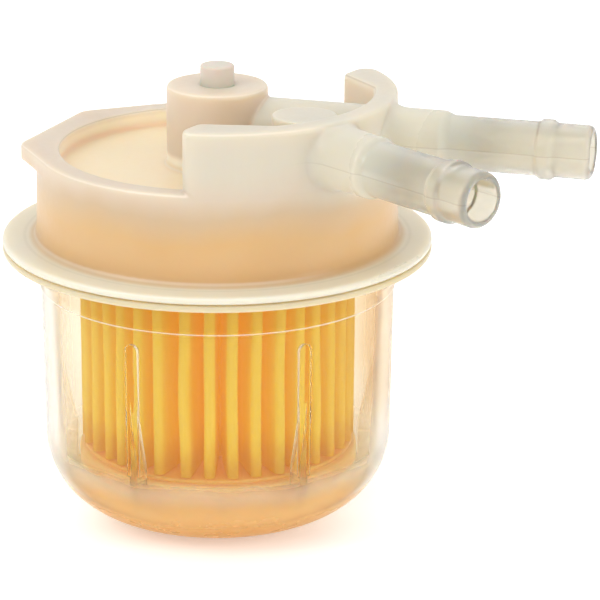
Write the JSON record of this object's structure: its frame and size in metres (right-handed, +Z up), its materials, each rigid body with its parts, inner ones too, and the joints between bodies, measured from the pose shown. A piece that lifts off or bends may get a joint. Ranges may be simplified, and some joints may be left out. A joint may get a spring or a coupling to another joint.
{
  "type": "fuel filter",
  "caption": "Sealed in-line fuel filter: translucent cap with paired hose tails, welded to a clear bowl around a pleated paper element.",
  "frame": {"origin": "centre of the bowl's flat base", "axes": "+Z up along the filter's axis, +X outwards, between the two hose tails"},
  "size_m": [0.0894, 0.066, 0.0702],
  "materials": {
    "cap_plastic": "translucent milky moulded nylon, semi-gloss",
    "bowl_plastic": "clear, faintly amber moulded nylon, glossy",
    "weld_plastic": "remelted translucent nylon",
    "plug_plastic": "translucent moulded nylon",
    "filter_paper": "resin-treated yellow filter paper, matt",
    "plate_plastic": "natural moulded plastic, satin",
    "core_plastic": "natural moulded plastic, satin",
    "adhesive": "cast amber adhesive",
    "seal_rubber": "black fuel-proof rubber"
  },
  "bodies": {
    "root": {"upper_housing": "cap_plastic", "lower_bowl": "bowl_plastic", "flange_weld_ring": "weld_plastic", "boss_plug": "plug_plastic", "pleated_paper": "filter_paper", "upper_end_plate": "plate_plastic", "lower_end_plate": "plate_plastic", "centre_tube": "core_plastic", "upper_bond_bed": "adhesive", "lower_bond_bed": "adhesive", "neck_seal": "seal_rubber"}
  },
  "joints": []
}
